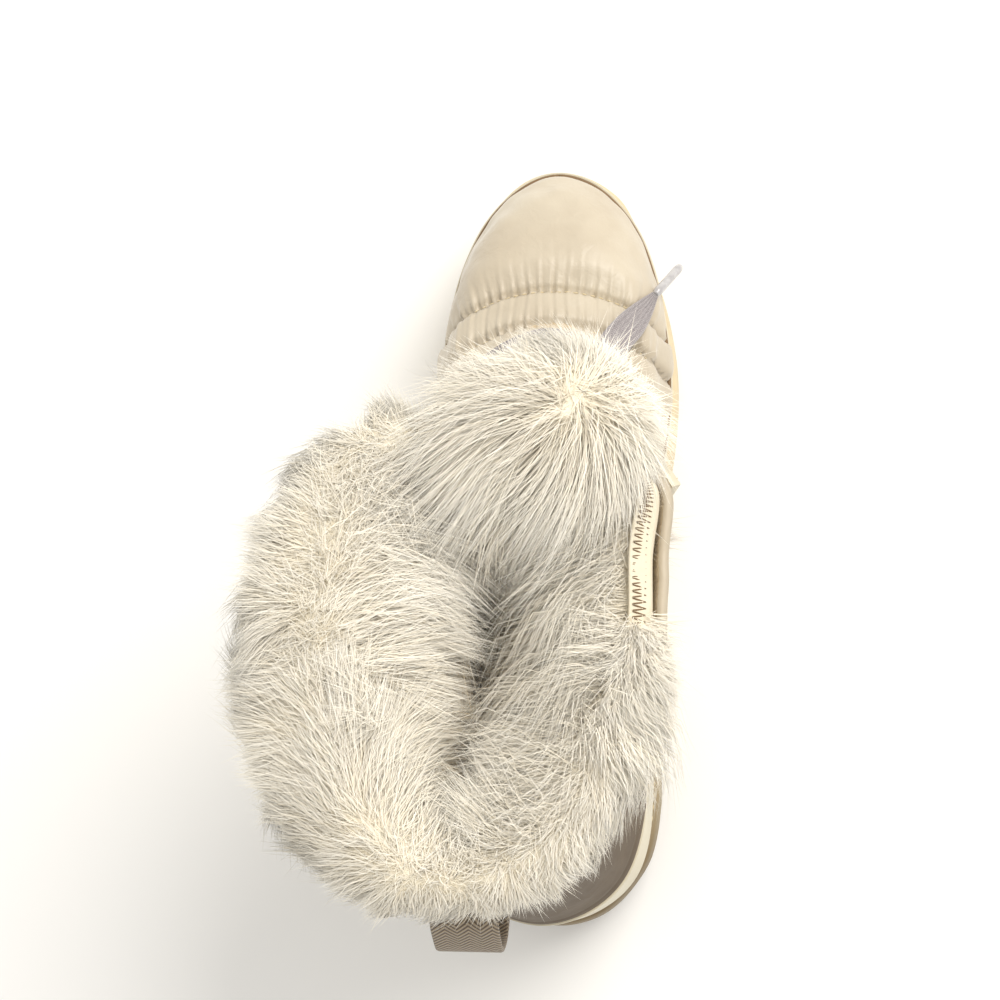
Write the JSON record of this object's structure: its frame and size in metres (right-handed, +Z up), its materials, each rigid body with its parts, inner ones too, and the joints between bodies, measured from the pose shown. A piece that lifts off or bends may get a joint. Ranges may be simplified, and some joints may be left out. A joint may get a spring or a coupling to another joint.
{
  "type": "winter boot",
  "caption": "Left women's quilted winter boot with lugged sole, lace-up throat, deep pile collar rolled outwards and pull loop.",
  "frame": {"origin": "on the ground plane, at the centre of the heel's flat ground spot", "axes": "+Y from heel to toe, +Z up, +X to the inner (medial) side of the foot"},
  "size_m": [0.1292, 0.2873, 0.2093],
  "materials": {
    "outsole_rubber": "matt",
    "sole_foam": "matt moulded foam",
    "insole_fleece": "short fleece",
    "quilted_shell": "satin coated",
    "smooth_trim": "smooth semi-gloss",
    "counter_trim": "smooth semi-gloss",
    "lace_cord": "ribbed flat lace",
    "aglet_plastic": "clear grey sleeve",
    "loop_webbing": "herringbone webbing",
    "pile": "deep soft pile"
  },
  "bodies": {
    "root": {"outsole": "outsole_rubber", "midsole": "sole_foam", "insole": "insole_fleece", "upper": "quilted_shell", "foxing": "smooth_trim", "counter": "counter_trim", "eyestay_medial": "smooth_trim", "eyestay_lateral": "smooth_trim", "tongue": "quilted_shell", "collar_tab": "smooth_trim", "lace_loop_medial_1": "smooth_trim", "lace_loop_medial_2": "smooth_trim", "lace_loop_medial_3": "smooth_trim", "lace_loop_medial_4": "smooth_trim", "lace_loop_lateral_1": "smooth_trim", "lace_loop_lateral_2": "smooth_trim", "lace_loop_lateral_3": "smooth_trim", "lace_loop_lateral_4": "smooth_trim", "lacing": "lace_cord", "lace_end": "lace_cord", "aglet": "aglet_plastic", "pull_loop": "loop_webbing", "tongue_pile": "pile", "collar_pile": "pile"}
  },
  "joints": []
}
